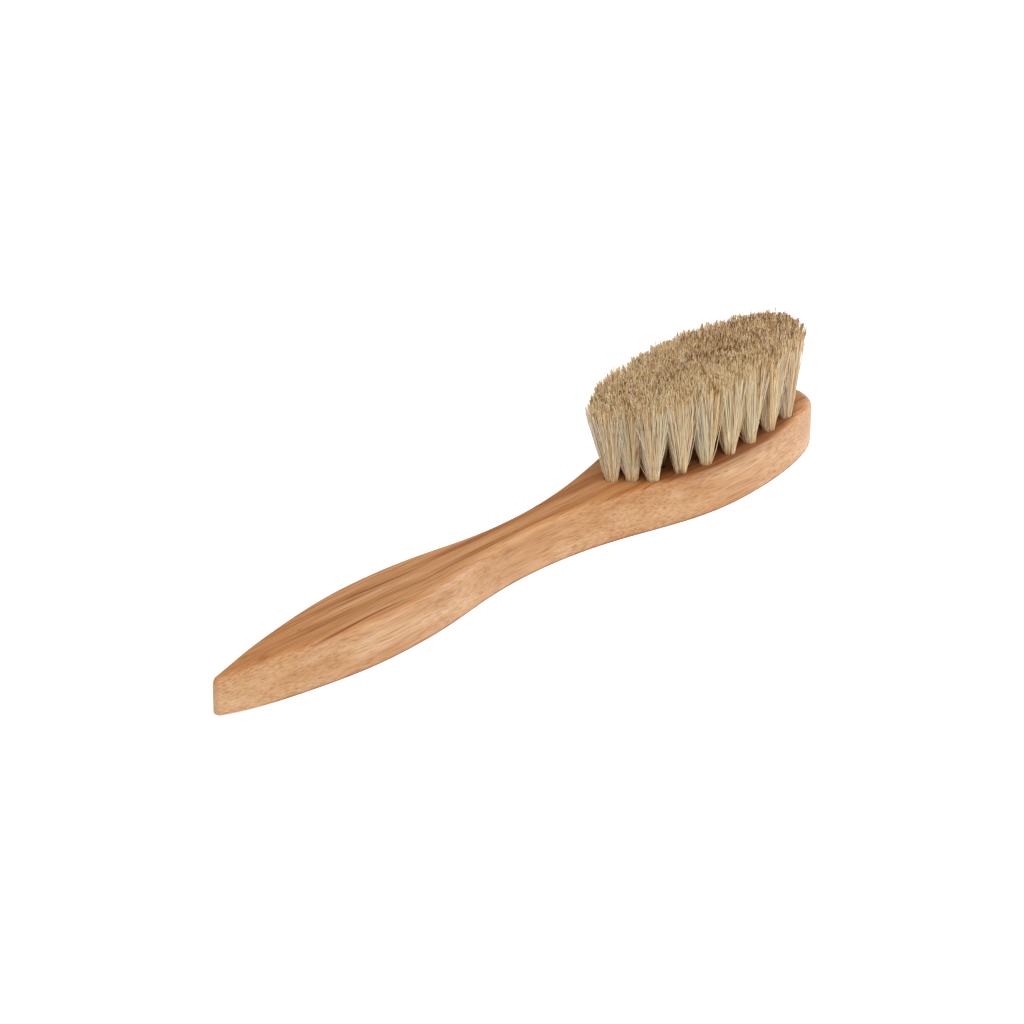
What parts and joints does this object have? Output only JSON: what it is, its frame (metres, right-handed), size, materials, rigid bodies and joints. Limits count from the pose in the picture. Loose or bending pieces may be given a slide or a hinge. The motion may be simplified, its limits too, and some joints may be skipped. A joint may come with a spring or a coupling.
{
  "type": "shoe polish applicator brush",
  "caption": "Brush with a slim waisted wooden handle and a leaf-shaped head set with tufts of trimmed horsehair, for dabbing polish onto shoes.",
  "frame": {"origin": "on the flat back of the handle, halfway along its length, on its centre line", "axes": "+X from the tip of the grip towards the head, +Y across the handle to the left, +Z from the flat back towards the hair"},
  "size_m": [0.18, 0.026, 0.0332],
  "materials": {
    "oiled_oak": "oiled, satin",
    "horsehair": "natural light horsehair",
    "anchor_steel": "bright drawn strip"
  },
  "bodies": {
    "root": {"handle": "oiled_oak", "tuft_left_outer_1": "horsehair", "tuft_right_outer_1": "horsehair", "tuft_left_outer_2": "horsehair", "tuft_right_outer_2": "horsehair", "tuft_left_outer_3": "horsehair", "tuft_right_outer_3": "horsehair", "tuft_left_outer_4": "horsehair", "tuft_right_outer_4": "horsehair", "tuft_left_outer_5": "horsehair", "tuft_right_outer_5": "horsehair", "tuft_left_outer_6": "horsehair", "tuft_right_outer_6": "horsehair", "tuft_left_outer_7": "horsehair", "tuft_right_outer_7": "horsehair", "tuft_left_inner_1": "horsehair", "tuft_right_inner_1": "horsehair", "tuft_left_inner_2": "horsehair", "tuft_right_inner_2": "horsehair", "tuft_left_inner_3": "horsehair", "tuft_right_inner_3": "horsehair", "tuft_left_inner_4": "horsehair", "tuft_right_inner_4": "horsehair", "tuft_left_inner_5": "horsehair", "tuft_right_inner_5": "horsehair", "tuft_left_inner_6": "horsehair", "tuft_right_inner_6": "horsehair", "tuft_left_inner_7": "horsehair", "tuft_right_inner_7": "horsehair", "tuft_point": "horsehair", "anchor_left_outer_1": "anchor_steel", "anchor_right_outer_1": "anchor_steel", "anchor_left_outer_2": "anchor_steel", "anchor_right_outer_2": "anchor_steel", "anchor_left_outer_3": "anchor_steel", "anchor_right_outer_3": "anchor_steel", "anchor_left_outer_4": "anchor_steel", "anchor_right_outer_4": "anchor_steel", "anchor_left_outer_5": "anchor_steel", "anchor_right_outer_5": "anchor_steel", "anchor_left_outer_6": "anchor_steel", "anchor_right_outer_6": "anchor_steel", "anchor_left_outer_7": "anchor_steel", "anchor_right_outer_7": "anchor_steel", "anchor_left_inner_1": "anchor_steel", "anchor_right_inner_1": "anchor_steel", "anchor_left_inner_2": "anchor_steel", "anchor_right_inner_2": "anchor_steel", "anchor_left_inner_3": "anchor_steel", "anchor_right_inner_3": "anchor_steel", "anchor_left_inner_4": "anchor_steel", "anchor_right_inner_4": "anchor_steel", "anchor_left_inner_5": "anchor_steel", "anchor_right_inner_5": "anchor_steel", "anchor_left_inner_6": "anchor_steel", "anchor_right_inner_6": "anchor_steel", "anchor_left_inner_7": "anchor_steel", "anchor_right_inner_7": "anchor_steel", "anchor_point": "anchor_steel"}
  },
  "joints": []
}
